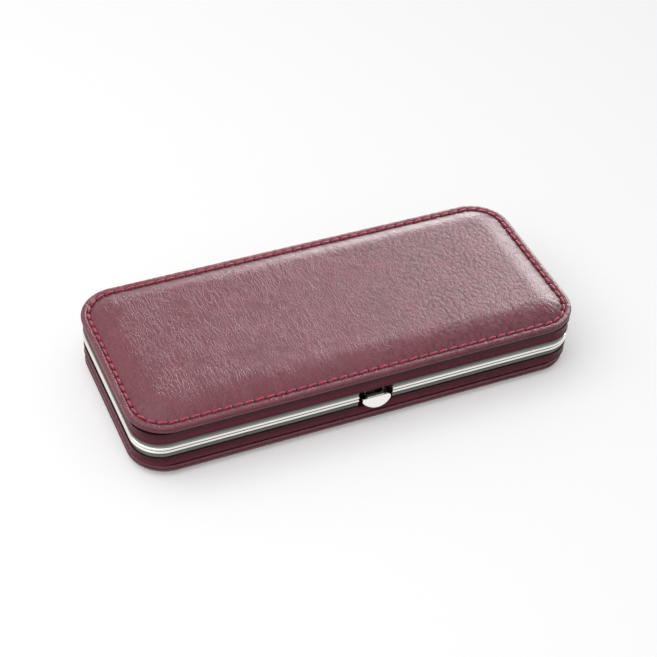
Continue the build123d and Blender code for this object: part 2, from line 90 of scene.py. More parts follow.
class LeatherSettings(bpy.types.PropertyGroup):
    """Sizes and colours of the leather covers."""
    corner_radius: bpy.props.FloatProperty(
        name="Corner radius", description="Radius of the covers' corners in plan",
        default=11.0 * MM, unit="LENGTH", precision=4)
    thickness: bpy.props.FloatProperty(
        name="Leather thickness", description="Thickness of the outer leather",
        default=0.9 * MM, unit="LENGTH", precision=4)
    flange_width: bpy.props.FloatProperty(
        name="Flange width", description="Flat stitched edge before the padded rise starts",
        default=2.9 * MM, unit="LENGTH", precision=4)
    mesh_pitch: bpy.props.FloatProperty(
        name="Mesh pitch", description="Spacing of the covers' vertices along the edge",
        default=0.45 * MM, unit="LENGTH", precision=5)
    pucker_depth: bpy.props.FloatProperty(
        name="Pucker depth", description="How far each stitch draws the leather in",
        default=0.16 * MM, unit="LENGTH", precision=5)
    crease_depth: bpy.props.FloatProperty(
        name="Crease depth", description="Height of the creases that run in from the seam",
        default=0.10 * MM, unit="LENGTH", precision=5)
    colour: bpy.props.FloatVectorProperty(
        name="Leather colour", description="Dyed colour of the covers",
        default=linear("753A44"), subtype="COLOR", min=0.0, max=1.0)
    # darker than the covers' colour; part of that is painted shade on the upright walls
    wall_colour_and_shade: bpy.props.FloatVectorProperty(
        name="Band colour", description="Dyed colour of the leather wall and of the lower layer",
        default=linear("5A2530"), subtype="COLOR", min=0.0, max=1.0)


class StitchSettings(bpy.types.PropertyGroup):
    """Sizes and colour of the decorative seam."""
    inset: bpy.props.FloatProperty(
        name="Seam inset", description="Distance of the seam from the covers' edge",
        default=2.15 * MM, unit="LENGTH", precision=4)
    per_quarter: bpy.props.IntProperty(
        name="Stitches per quarter", description="Stitches in each quarter of the seam",
        default=29, min=4, max=60)
    thread: bpy.props.FloatProperty(
        name="Thread diameter", description="Diameter of the sewing thread",
        default=0.72 * MM, unit="LENGTH", precision=4)
    colour: bpy.props.FloatVectorProperty(
        name="Thread colour", description="Colour of the sewing thread",
        default=linear("B81E46"), subtype="COLOR", min=0.0, max=1.0)


class StageSettings(bpy.types.PropertyGroup):
    """Floor, light and camera."""
    azimuth: bpy.props.FloatProperty(
        name="Camera azimuth", description="Turn of the camera about the vertical, from the front",
        default=math.radians(-26.11), subtype="ANGLE")
    elevation: bpy.props.FloatProperty(
        name="Camera elevation", description="Height of the camera as an angle",
        default=math.radians(42.354), subtype="ANGLE")
    roll: bpy.props.FloatProperty(
        name="Camera roll", description="Turn of the camera about its own axis",
        default=math.radians(4.102), subtype="ANGLE")
    distance: bpy.props.FloatProperty(
        name="Camera distance", description="Distance from the middle of the case",
        default=0.4664, unit="LENGTH")
    lens: bpy.props.FloatProperty(
        name="Lens", description="Focal length for a sensor 36 mm wide", default=91.8, unit="CAMERA")
    world_level: bpy.props.FloatProperty(
        name="Room light", description="Strength of the even light from all round",
        default=0.55, min=0.0, max=2.0)
    key_power: bpy.props.FloatProperty(
        name="Key light", description="Power of the softbox above and to the left of the case",
        default=3.3, unit="POWER")
    sheen_power: bpy.props.FloatProperty(
        name="Sheen light", description="Power of each panel that only polished and grazed surfaces show",
        default=2.4, unit="POWER")


# ---- shader helpers

def add(tree, kind, inputs=None, **settings):
    """Add a shader node; inputs gives each socket a value or another node's output."""
    made = tree.nodes.new("ShaderNode" + kind)
    for name, value in settings.items():
        setattr(made, name, value)
    for key, value in (inputs or {}).items():
        if isinstance(value, bpy.types.NodeSocket):
            tree.links.new(value, made.inputs[key])
        else:
            made.inputs[key].default_value = value
    return made


def new_material(name, **shader_values):
    """A material with one Principled shader; the values go on its own sockets."""
    material = bpy.data.materials.new(name)
    material.use_nodes = True
    tree = material.node_tree
    tree.nodes.clear()
    shader = add(tree, "BsdfPrincipled")
    add(tree, "OutputMaterial", {"Surface": shader.outputs["BSDF"]})
    for key, value in shader_values.items():
        shader.inputs[key.replace("_", " ")].default_value = value
    return material, tree, shader


def object_place(tree):
    """Each point's place on its piece."""
    return add(tree, "TexCoord").outputs["Object"]


def product(tree, first, second):
    """Two values, or a value and a number, multiplied."""
    return add(tree, "Math", {0: first, 1: second}, operation="MULTIPLY").outputs[0]


def distance_from(tree, value, level):
    """How far a value is from a level, on either side."""
    off = add(tree, "Math", {0: value, 1: level}, operation="SUBTRACT")
    return add(tree, "Math", {0: off.outputs[0]}, operation="ABSOLUTE").outputs[0]


def raise_surface(tree, shader, height, strength, depth):
    """Bump the surface; a height of 1 stands for a depth in metres."""
    bump = add(tree, "Bump", {"Strength": strength, "Distance": depth, "Height": height})
    tree.links.new(bump.outputs["Normal"], shader.inputs["Normal"])


def dye(tree, shader, colour, tone):
    """Colour the surface, darker or brighter by a tone around 1."""
    toned = add(tree, "VectorMath", {0: colour, "Scale": tone}, operation="SCALE")
    tree.links.new(toned.outputs[0], shader.inputs["Base Color"])


def set_material(piece, material):
    """Make one material the piece's only one."""
    piece.data.materials.clear()
    piece.data.materials.append(material)


def dress(names, material):
    """Give CAD nodes a material."""
    for name in names:
        set_material(nodes[name], material)


# ---- materials

def painted_shade_near(tree, heights, tone, reach=0.22 * MM):
    """1 away from some heights above the floor, and a tone at them: painted shade along joins and edges.
    """
    height = add(tree, "SeparateXYZ", {"Vector": object_place(tree)}).outputs["Z"]
    result = None
    for level in heights:
        line = add(tree, "MapRange", {"Value": distance_from(tree, height, level), "From Max": reach,
                                      "To Min": tone}, interpolation_type="SMOOTHSTEP").outputs["Result"]
        result = line if result is None else product(tree, result, line)
    return result


# Pebbles in a millimetre along X, Y and Z; they are a little longer across the case.
PEBBLES_PER_MM = (0.95, 0.75, 0.95)


def grained_nappa(name, colour, painted_shade_joins=(), painted_light_heights=None, cell=1.0, relief=0.15 * MM, gloss=0.35, crest_paleness_and_sheen=1.0):
    """Grained nappa: soft chrome-tanned cowhide, milled so that its grain draws up, lightly finished.

    The eye sees fine pale creases across the case where the hide was stretched, round pebbles with
    darker valleys where it was loose, and a broad soft shine that pales the colour where it is grazed.
    The creases' paleness is partly their own and partly painted sheen; the valleys' darkness is painted
    shade. The cell is the grain's size against the cover's, relief its depth, and the last argument
    how pale the creases are, sheen included. The heights after the colour are lines of painted shade
    where layers join; the next two heights mark a strip with a painted highlight at the first and
    painted shade towards the second."""
    material, tree, shader = new_material(name, Specular_IOR_Level=gloss)
    place = object_place(tree)
    warp = add(tree, "TexNoise", {"Vector": place, "Scale": 0.3 / (cell * MM), "Detail": 3.0})
    shift = add(tree, "VectorMath", {0: warp.outputs["Color"], 1: (0.5, 0.5, 0.5)}, operation="SUBTRACT")
    moved = add(tree, "VectorMath", {0: shift.outputs[0], "Scale": 1.8 * cell * MM}, operation="SCALE")
    bent = add(tree, "VectorMath", {0: place, 1: moved.outputs[0]}, operation="ADD").outputs[0]

    def fade(value, low, high, start=0.0, end=1.0):
        """Start below low, end above high."""
        return add(tree, "MapRange", {"Value": value, "From Min": low, "From Max": high, "To Min": start,
                                      "To Max": end}, interpolation_type="SMOOTHSTEP").outputs["Result"]

    def crests(width, length, turn, thin):
        """1 on thin wandering lines along Y, 0 between them.

        Width and length are a cell's, in millimetres. Turn is in degrees, and thin a share of a cell."""
        size = [1 / (side * cell * MM) for side in (width, length, width)]
        stretched = add(tree, "Mapping", {"Vector": bent, "Scale": size,
                                          "Rotation": (0, 0, math.radians(turn))})
        cells = add(tree, "TexVoronoi", {"Vector": stretched.outputs[0], "Scale": 1.0},
                    feature="DISTANCE_TO_EDGE")
        return fade(cells.outputs["Distance"], 0.0, thin, start=1.0, end=0.0)

    def patches(size, low, high):
        """0 to 1 in soft patches of about a size in millimetres."""
        patch = add(tree, "TexNoise", {"Vector": place, "Scale": 1 / (size * MM), "Detail": 2.0})
        return fade(patch.outputs["Fac"], low, high)

    def times(first, second):
        """The two multiplied."""
        return product(tree, first, second)

    def plus(first, second, share=1.0):
        """The first, and a share of the second."""
        return add(tree, "Math", {0: second, 1: share, 2: first}, operation="MULTIPLY_ADD").outputs[0]

    # the hide is tight at the left end of the case and loose at the right
    across = add(tree, "SeparateXYZ", {"Vector": place}).outputs["X"]
    drift = add(tree, "TexNoise", {"Vector": place, "Scale": 60.0, "Detail": 1.0}).outputs["Fac"]
    loose = fade(plus(across, drift, share=50 * MM), low=0.0, high=70 * MM)
    tight = add(tree, "Math", {0: 1.0, 1: loose}, operation="SUBTRACT").outputs[0]
    long_crests = crests(width=1.0, length=6.5, turn=3, thin=0.1)
    long_crests = times(times(long_crests, patches(size=8.0, low=0.2, high=0.65)), tight)
    short_crests = crests(width=0.5, length=2.2, turn=-5, thin=0.17)
    short_crests = times(short_crests, patches(size=3.0, low=0.25, high=0.65))
    density = [per_mm / (cell * MM) for per_mm in PEBBLES_PER_MM]
    packed = add(tree, "Mapping", {"Vector": place, "Scale": density}).outputs[0]
    pebbles = add(tree, "TexVoronoi", {"Vector": packed, "Scale": 1.0, "Smoothness": 0.3},
                  feature="SMOOTH_F1")
    valleys = fade(pebbles.outputs["Distance"], low=0.35, high=0.8)
    valleys = times(valleys, fade(loose, low=0.0, high=1.0, start=0.15, end=1.0))
    pores = add(tree, "TexNoise", {"Vector": place, "Scale": 2.0 / (cell * MM), "Detail": 3.0,
                                   "Roughness": 0.7}).outputs["Fac"]

    height = plus(times(long_crests, 0.34), short_crests, share=0.18)
    height = plus(height, valleys, share=-0.22)
    height = plus(height, pores, share=0.5)
    raise_surface(tree, shader, height, strength=0.9, depth=relief)

    mottle = add(tree, "TexNoise", {"Vector": place, "Scale": 90.0, "Detail": 4.0}).outputs["Fac"]
    tone = fade(mottle, low=0.3, high=0.7, start=0.9, end=1.04)
    # painted shade: the pebbles' valleys are darkened
    tone = plus(tone, valleys, share=-0.36)
    tone = plus(tone, fade(pores, low=0.3, high=0.7, start=-0.2, end=0.2))
    # painted shade: dark lines where the leather layers join
    if painted_shade_joins:
        tone = times(tone, painted_shade_near(tree, painted_shade_joins, tone=0.15))
    # painted light on a strip: a painted highlight at the first height, its lower edge, painted shade
    # towards the second, and a little painted shade right at the first
    if painted_light_heights:
        level = add(tree, "SeparateXYZ", {"Vector": place}).outputs["Z"]
        tone = times(tone, fade(level, *painted_light_heights, start=1.5, end=0.45))
        tone = times(tone, painted_shade_near(tree, painted_light_heights[:1], tone=0.7, reach=0.5 * MM))
    # painted shade: the leather is darkened nearly to black in the stitch holes
    hole = add(tree, "Attribute", attribute_name="seam_hole").outputs["Fac"]
    tone = times(tone, fade(hole, low=0.1, high=0.6, start=1.0, end=0.05))
    dyed = add(tree, "VectorMath", {0: colour, "Scale": tone}, operation="SCALE").outputs[0]
    # the creases' paleness: partly their own, partly painted sheen
    pale_crests_and_sheen = plus(times(long_crests, 0.24 * crest_paleness_and_sheen), short_crests, share=0.16 * crest_paleness_and_sheen)
    pale_crests_and_sheen = times(pale_crests_and_sheen, fade(hole, low=0.0, high=0.1, start=1.0, end=0.0))
    pale = opaque([1.25 * channel + 0.045 for channel in colour])
    mixed = add(tree, "Mix", {"Factor": pale_crests_and_sheen, "A": dyed, "B": pale}, data_type="RGBA").outputs["Result"]
    tree.links.new(mixed, shader.inputs["Base Color"])
    tree.links.new(fade(pores, low=0.2, high=0.8, start=0.28, end=0.42), shader.inputs["Roughness"])
    return material


def bonded_thread(name, colour):
    """Bonded nylon thread: twisted plies with a wax bond.

    The eye sees slanting ribs on each stitch and a soft gleam."""
    material, tree, shader = new_material(name, Roughness=0.5, Sheen_Weight=0.3)
    plies = add(tree, "TexWave", {"Vector": add(tree, "TexCoord").outputs["UV"], "Scale": 2.0,
                                  "Distortion": 0.5}, bands_direction="DIAGONAL").outputs["Fac"]
    raise_surface(tree, shader, plies, strength=0.6, depth=0.1 * MM)
    tone = add(tree, "MapRange", {"Value": plies, "To Min": 0.6, "To Max": 1.1}).outputs["Result"]
    dye(tree, shader, colour, tone)
    return material


def polished_nickel(name, colour="C9C7C0", roughness=0.16):
    """Nickel plate over steel, polished: a warm mirror with faint buffing marks."""
    material, tree, shader = new_material(name, Metallic=1.0, Base_Color=opaque(linear(colour)))
    marks = add(tree, "TexNoise", {"Vector": object_place(tree), "Scale": 1200.0,
                                   "Detail": 3.0}).outputs["Fac"]
    rough = add(tree, "MapRange", {"Value": marks, "To Min": roughness * 0.7, "To Max": roughness * 1.4})
    tree.links.new(rough.outputs["Result"], shader.inputs["Roughness"])
    raise_surface(tree, shader, marks, strength=0.2, depth=0.01 * MM)
    return material


# Heights in millimetres from the parting plane: where the two beads end and the flanks start.
BEAD_END, FLANK_START = 0.85, 1.15
# Grey of the drawn frame by height: the beads are bright, and the flanks' dark grey tones, which pale
# downwards, and the dark line between the beads are painted shade.
FRAME_GREYS_AND_SHADE = ((-2.5, "8C8D8A"), (-FLANK_START, "4C4E4C"), (-BEAD_END, "E8E6E0"), (-0.22, "E8E6E0"),
               (0.0, "2C2B2A"), (0.22, "E8E6E0"), (BEAD_END, "E8E6E0"), (FLANK_START, "858683"),
               (2.4, "3E3F3E"))


def nickel_frame(name, reach=2.6 * MM):
    """The frame's nickel: drawn beads, polished, and flanks left satin from the rolling.

    The eye sees two bright threads of light with a dark line between them, and grey bands above and
    below that each pale downwards; the dark line and the bands' grey, paling downwards, are painted
    shade."""
    material, tree, shader = new_material(name, Metallic=1.0)
    place = object_place(tree)
    height = add(tree, "SeparateXYZ", {"Vector": place}).outputs["Z"]
    share = add(tree, "MapRange", {"Value": height, "From Min": PARTING_HEIGHT - reach,
                                   "From Max": PARTING_HEIGHT + reach}).outputs["Result"]
    # painted shade by height: dark flanks paling downwards and a dark line at the parting
    greys_and_shade = add(tree, "ValToRGB", {"Fac": share})
    greys_and_shade.color_ramp.elements.remove(greys_and_shade.color_ramp.elements[1])
    for index, (level, grey) in enumerate(FRAME_GREYS_AND_SHADE):
        position = 0.5 + level * MM / (2 * reach)
        stop = greys_and_shade.color_ramp.elements.new(position) if index else greys_and_shade.color_ramp.elements[0]
        stop.position = position
        stop.color = opaque(linear(grey))
    tree.links.new(greys_and_shade.outputs["Color"], shader.inputs["Base Color"])
    away = distance_from(tree, height, PARTING_HEIGHT)
    rough = add(tree, "MapRange", {"Value": away, "From Min": BEAD_END * MM, "From Max": FLANK_START * MM,
                                   "To Min": 0.12, "To Max": 0.36}).outputs["Result"]
    tree.links.new(rough, shader.inputs["Roughness"])
    rolled = add(tree, "Mapping", {"Vector": place, "Scale": (60.0, 60.0, 6000.0)}).outputs[0]
    lines = add(tree, "TexNoise", {"Vector": rolled, "Scale": 1.0, "Detail": 3.0}).outputs["Fac"]
    raise_surface(tree, shader, lines, strength=0.12, depth=0.02 * MM)
    return material


def cut_file_steel(name):
    """Hardened carbon steel with a cross-cut face: two sets of fine teeth that glitter as they turn."""
    material, tree, shader = new_material(name, Metallic=1.0, Roughness=0.42,
                                          Base_Color=opaque(linear("A9AAA9")))
    place = object_place(tree)

    def cuts(angle):
        """One set of teeth, at an angle in degrees."""
        turned = add(tree, "Mapping", {"Vector": place, "Rotation": (0, 0, math.radians(angle))})
        return add(tree, "TexWave", {"Vector": turned.outputs[0], "Scale": 330.0},
                   wave_profile="SAW").outputs["Fac"]

    raise_surface(tree, shader, product(tree, cuts(38), cuts(-52)), strength=0.9, depth=0.12 * MM)
    return material


def moulded_grip(name, colour):
    """Injection-moulded acetate: a hard gloss with slight flow marks."""
    material, tree, shader = new_material(name, Roughness=0.16, Coat_Weight=0.3)
    flow = add(tree, "TexNoise", {"Vector": object_place(tree), "Scale": 90.0, "Detail": 2.0,
                                  "Distortion": 1.5}).outputs["Fac"]
    tone = add(tree, "MapRange", {"Value": flow, "To Min": 0.8, "To Max": 1.2}).outputs["Result"]
    dye(tree, shader, colour, tone)
    return material


def suede(name, colour):
    """Split-leather suede glued into the trays: a short nap, brushed both ways, with no shine."""
    material, tree, shader = new_material(name, Roughness=0.95, Specular_IOR_Level=0.15, Sheen_Weight=0.5,
                                          Sheen_Roughness=0.4)
    place = object_place(tree)
    nap = add(tree, "TexNoise", {"Vector": place, "Scale": 3500.0, "Detail": 2.0}).outputs["Fac"]
    raise_surface(tree, shader, nap, strength=0.5, depth=0.08 * MM)
    brushed = add(tree, "TexNoise", {"Vector": place, "Scale": 160.0, "Detail": 3.0, "Distortion": 0.6})
    tone = add(tree, "MapRange", {"Value": brushed.outputs["Fac"], "From Min": 0.3, "From Max": 0.7,
                                  "To Min": 0.9, "To Max": 1.08}).outputs["Result"]
    dye(tree, shader, colour, tone)
    return material


# ---- mesh helpers

def clear_selection():
    """Leave edit mode, if in it, with nothing selected."""
    if bpy.context.object and bpy.context.object.mode != "OBJECT":
        bpy.ops.object.mode_set(mode="OBJECT")
    bpy.ops.object.select_all(action="DESELECT")


def edit(piece):
    """Go into edit mode on one piece with nothing selected."""
    clear_selection()
    bpy.context.view_layer.objects.active = piece
    piece.select_set(True)
    bpy.ops.object.mode_set(mode="EDIT")
    bpy.ops.mesh.select_all(action="DESELECT")


def select(piece, kind, test):
    """In edit mode on a piece, select the vertices, edges or faces that pass a test."""
    bpy.ops.object.mode_set(mode="OBJECT")
    mesh = piece.data
    for part in (mesh.vertices, mesh.edges, mesh.polygons):
        part.foreach_set("select", [False] * len(part))
    chosen = {"VERT": mesh.vertices, "EDGE": mesh.edges, "FACE": mesh.polygons}[kind]
    chosen.foreach_set("select", [bool(test(item)) for item in chosen])
    bpy.ops.object.mode_set(mode="EDIT")
    bpy.ops.mesh.select_mode(type=kind)


def finish_piece(piece, material, body):
    """Leave a piece at the origin, with its material, on its CAD body."""
    clear_selection()
    bpy.context.view_layer.objects.active = piece
    piece.select_set(True)
    piece.scale = (MM, MM, MM)
    bpy.ops.object.transform_apply(location=True, rotation=True, scale=True)
    set_material(piece, material)
    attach(piece, body)
    clear_selection()


def points_of(mesh):
    """A mesh's vertices as rows of X, Y and Z."""
    points = np.empty(len(mesh.vertices) * 3)
    mesh.vertices.foreach_get("co", points)
    return points.reshape(-1, 3)


def edge_coordinates(points, edge, path_inset):
    """Each point's inset, and its distance along the seam's path from the middle of a long side.

    The distance is the same in all four quarters."""
    x, y = np.abs(points[:, 0]), np.abs(points[:, 1])
    core_x, core_y = core(edge)
    dx, dy = x - core_x, y - core_y
    outside = np.hypot(np.maximum(dx, 0), np.maximum(dy, 0))
    inset = edge.radius - outside - np.minimum(np.maximum(dx, dy), 0)
    turn = (edge.radius - path_inset) * math.pi / 2
    corner = core_x + turn * np.arctan2(np.maximum(dx, 0), np.maximum(dy, 1e-9)) / (math.pi / 2)
    along = np.where((dx > 0) & (dy > 0), corner, np.where(dy >= dx, x, core_x + turn + core_y - y))
    return inset, along


def quarter_length(edge, path_inset):
    """Length of a quarter of the seam's path."""
    straight = edge.half_length + edge.half_width - 2 * edge.radius
    return straight + (edge.radius - path_inset) * math.pi / 2


# ---- leather covers

def rounded_plate(name, edge, pitch, thickness):
    """A plate with one cover's outline and a finely divided edge, left in edit mode."""
    clear_selection()
    bpy.ops.mesh.primitive_plane_add(size=1.0, location=(0, 0, 0))
    piece = bpy.context.object
    piece.name = name
    piece.scale = (2 * edge.half_length, 2 * edge.half_width, 1)
    bpy.ops.object.transform_apply(location=True, rotation=True, scale=True)
    edit(piece)
    bpy.ops.mesh.select_all(action="SELECT")
    bpy.ops.mesh.bevel(offset=edge.radius, segments=round(edge.radius * math.pi / 2 / pitch),
                       affect="VERTICES")
    for axis, half_length in enumerate(core(edge)):
        divide_straight(piece, axis, 2 * half_length, pitch)
    bpy.ops.mesh.select_all(action="SELECT")
    bpy.ops.mesh.dissolve_faces()
    bpy.ops.mesh.extrude_region_move(TRANSFORM_OT_translate={"value": (0, 0, thickness)})
    bpy.ops.mesh.select_all(action="SELECT")
    bpy.ops.mesh.normals_make_consistent(inside=False)
    return piece


def divide_straight(piece, axis, length, pitch):
    """Divide the plate's two straight sides along an axis, first in 8 and then each eighth evenly."""
    first = 8
    second = 2 * round(length / pitch / first / 2)
    for undivided, count in ((length, first), (length / first, second)):
        def straight(edge):
            start, end = (piece.data.vertices[i].co for i in edge.vertices)
            return abs(abs(start[axis] - end[axis]) - undivided) < pitch / 20

        select(piece, "EDGE", straight)
        bpy.ops.mesh.subdivide(number_cuts=count - 1)


def inset_rings(piece, up, rings):
    """From the plate's top or bottom face, inset ring after ring; each is (step in, step out)."""
    select(piece, "FACE", lambda face: len(face.vertices) > 4 and face.normal.z * up > 0.5)
    for step_in, step_out in rings:
        bpy.ops.mesh.inset(thickness=step_in, depth=step_out, use_even_offset=True)


def crown_height(inset, start, end, rise):
    """Rise of a padded crown: an arc, level where it ends."""
    radius = ((end - start) ** 2 + rise ** 2) / (2 * rise)
    reach = np.clip(end - inset, 0, end - start)
    return rise - radius + np.sqrt(radius ** 2 - reach ** 2)


def fill_middle(piece, edge, height):
    """Turn the innermost face, now a sharp-cornered rectangle, into a grid."""
    near = 0.02  # millimetres within which two places are the same
    bpy.ops.mesh.delete(type="FACE")
    bpy.ops.mesh.select_all(action="SELECT")
    bpy.ops.mesh.remove_doubles(threshold=near)
    core_x, core_y = core(edge)

    def on_short_side(vertex):
        x, y, z = vertex.co
        return abs(z - height) < near and abs(x - core_x) < near and abs(y) < core_y + near

    def on_long_side(mesh_edge):
        ends = [piece.data.vertices[i].co for i in mesh_edge.vertices]
        return all(abs(z - height) < near and abs(abs(y) - core_y) < near and abs(x) < core_x + near
                   for x, y, z in ends) and abs(ends[0].y - ends[1].y) < near

    bpy.ops.object.mode_set(mode="OBJECT")
    rows = sum(on_short_side(vertex) for vertex in piece.data.vertices) - 1
    select(piece, "EDGE", on_long_side)
    bpy.ops.mesh.bridge_edge_loops(number_cuts=rows - 1, interpolation="LINEAR")
    bpy.ops.mesh.select_all(action="SELECT")
    bpy.ops.mesh.remove_doubles(threshold=near)


# Lengths in millimetres; a reach is how far sideways a feature spreads. The ring steps are the widths
# of the rings of faces from a cover's edge inwards: narrow on the rounded edge and in the seam's
# channel, and wide steps after them.
RING_STEPS = (0.1, 0.12, 0.16, 0.22, 0.3, 0.3, 0.25, 0.2, 0.18, 0.17, 0.17, 0.18, 0.2, 0.25, 0.3)
WIDE_STEP = 0.55
LAST_STEP_LEAST = 0.9
CROWN_SHORT = 0.8  # the crown is level from this far outside the corners' centres
EDGE_ROUND = 0.5
LOWER_ROUND = 0.35
LOWER_LIFT = LOWER_ROUND * 0.8
# a shallow welt between the edge and the seam
WELT_HEIGHT, WELT_INSET, WELT_REACH = 0.12, 1.0, 0.55
CHANNEL_DEPTH, CHANNEL_REACH = 0.3, 0.5
HOLE_DEPTH, HOLE_REACH = 0.45, 0.42
PUCKER_REACH = 1.1
CREASE_REACH = 4
# The first size is along the seam, or along X for the roll, and the second is across it.
WRINKLE_SIZES, CREASE_SIZES, ROLL_SIZES = (0.9, 2.5), (1.5, 9), (16, 12)
ROLL_HEIGHT = 0.1
# Inside the seam, the depths at which the creases and the roll are first full.
CREASE_ONSET, ROLL_ONSET = 0.8, 5
BOARD_INSET, BOARD_THICKNESS = 3.8, 0.8
BOARD_STEP = 0.05  # the recess for the board has walls that lean inwards by this much
HOLLOW_RINGS = 6


def leather_cover(half, leather, stitch):
    """One cover: rounded edge, seam channel with puckers, padded crown; hollow beneath."""
    low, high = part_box(f"{half}_cover")
    up = 1 if half == "lid" else -1
    underside = (low if half == "lid" else high)[2] / MM
    thickness = leather.thickness / MM
    rise = (high[2] - low[2]) / MM - thickness
    edge = cover_outline(half, leather)
    crown_end = edge.radius - CROWN_SHORT

    piece = rounded_plate(f"{half}_cover_leather", edge, leather.mesh_pitch / MM, thickness)
    steps = list(RING_STEPS)
    while sum(steps) < edge.radius - LAST_STEP_LEAST:
        steps.append(WIDE_STEP)
    steps.append(edge.radius - sum(steps))
    inset_rings(piece, 1, [(step, 0) for step in steps])
    fill_middle(piece, edge, thickness)
    hollow_over_board(piece, rise, crown_end)

    points = points_of(piece.data)
    upper = np.zeros(len(points), bool)
    upper[[i for face in piece.data.polygons if face.normal.z > 0.5 for i in face.vertices]] = True
    inset, along = edge_coordinates(points, edge, stitch.inset / MM)
    shape = crown_height(inset, leather.flange_width / MM, crown_end, rise)
    fall = np.clip(EDGE_ROUND - inset, 0, EDGE_ROUND)
    shape -= EDGE_ROUND - np.sqrt(EDGE_ROUND ** 2 - fall ** 2)
    shape += WELT_HEIGHT * np.exp(-((inset - WELT_INSET) / WELT_REACH) ** 2)
    hole = sink_seam(shape, inset, along, edge, leather, stitch)
    add_creases(shape, points, upper, inset - stitch.inset / MM, along, leather.crease_depth / MM)
    lower_edge = ~upper & (inset < LOWER_ROUND / 2)
    points[:, 2] = underside + up * (points[:, 2] + np.where(upper, shape, LOWER_LIFT * lower_edge))
    piece.data.vertices.foreach_set("co", points.ravel())
    mark = piece.data.attributes.new("seam_hole", "FLOAT", "POINT")
    mark.data.foreach_set("value", np.where(upper, hole, 0).astype(np.float32))
    if up < 0:
        piece.data.flip_normals()
    piece.data.update()
    return piece


def sink_seam(shape, inset, along, edge, leather, stitch):
    """Sink the seam's channel, its holes and the leather that they draw in; return how far in a hole."""
    seam = stitch.inset / MM
    off_seam = inset - seam
    channel = np.exp(-(off_seam / CHANNEL_REACH) ** 2)
    phase = along * stitch.per_quarter / quarter_length(edge, seam)
    at_hole = 0.5 + 0.5 * np.cos(2 * math.pi * phase)
    hole = at_hole ** 4 * np.exp(-(off_seam / HOLE_REACH) ** 2)
    shape -= CHANNEL_DEPTH * channel + HOLE_DEPTH * hole
    pucker = leather.pucker_depth / MM * at_hole * np.exp(-np.abs(off_seam) / PUCKER_REACH)
    shape -= pucker * (1 - channel)
    return hole


def add_creases(shape, points, upper, off_seam, along, crease_depth):
    """Wrinkle the flange outside the seam; inside it, run creases in and let the crown roll a little."""
    def uneven(sizes, first, second, seed):
        """Smooth noise from -1 to 1, of some sizes along and across; each seed has its own pattern."""
        return noise.noise(Vector((first / sizes[0], second / sizes[1], seed)))

    for index in np.nonzero(upper & (off_seam < 0))[0]:
        half = math.copysign(5, points[index][0])
        shape[index] += crease_depth * uneven(WRINKLE_SIZES, along[index], off_seam[index], half)
    for index in np.nonzero(upper & (off_seam > 0))[0]:
        x, y = points[index][:2]
        depth = off_seam[index]
        quarter = math.copysign(7, x) + math.copysign(3, y)
        crease = uneven(CREASE_SIZES, along[index], depth, quarter)
        fading = math.exp(-depth / CREASE_REACH) * min(1, depth / CREASE_ONSET)
        shape[index] += 2 * crease_depth * crease * fading
        shape[index] += ROLL_HEIGHT * uneven(ROLL_SIZES, x, y, 5.0) * min(1, depth / ROLL_ONSET)


def hollow_over_board(piece, rise, crown_end):
    """Hollow the underside over the board and the foam, an even thickness below the crown."""
    start = BOARD_INSET + BOARD_STEP
    stations = np.linspace(start, crown_end, HOLLOW_RINGS + 1)
    heights = crown_height(stations, start, crown_end, rise - BOARD_THICKNESS)
    recess = [(LOWER_ROUND, 0), (BOARD_INSET - LOWER_ROUND, 0), (BOARD_STEP, -BOARD_THICKNESS)]
    dome = [(stations[1] - stations[0], -step) for step in np.diff(heights)]
    inset_rings(piece, -1, recess + dome)
    bpy.ops.object.mode_set(mode="OBJECT")


# ---- stitches

STITCH_LENGTH = 0.94  # share of the seam's pitch
STITCH_HEIGHT, STITCH_LIFT = 0.9, 0.08  # shares of the thread's diameter
END_DROP = 0.32  # millimetres
SLANT, SLANT_SPREAD = math.radians(7), math.radians(5)
LENGTH_SPREAD, WIDTH_SPREAD = 0.06, 0.2
QUARTER_SIGNS = ((1, -1), (-1, -1), (-1, 1), (1, 1))


def master_stitch(pitch, thread):
    """One stitch along X, its ends bent down."""
    clear_selection()
    bpy.ops.mesh.primitive_uv_sphere_add(segments=8, ring_count=8, radius=0.5, location=(0, 0, 0))
    master = bpy.context.object
    bpy.ops.transform.rotate(value=math.pi / 2, orient_axis="Y", center_override=(0, 0, 0))
    bpy.ops.object.transform_apply(location=True, rotation=True, scale=True)
    master.scale = (pitch * STITCH_LENGTH, thread, thread * STITCH_HEIGHT)
    bpy.ops.object.transform_apply(location=True, rotation=True, scale=True)
    bpy.ops.object.shade_smooth()
    for vertex in master.data.vertices:
        bend = (2 * vertex.co.x / pitch) ** 2
        vertex.co.z -= END_DROP * bend ** 2
    return master


def seam_place(edge, path_radius, along):
    """The place and the heading at a distance along the seam's path, for X and Y above 0."""
    core_x, core_y = core(edge)
    corner = path_radius * math.pi / 2
    if along < core_x:
        return along, core_y + path_radius, 0.0
    if along < core_x + corner:
        turn = (along - core_x) / path_radius
        return core_x + path_radius * math.sin(turn), core_y + path_radius * math.cos(turn), -turn
    return core_x + path_radius, core_y - (along - core_x - corner), -math.pi / 2


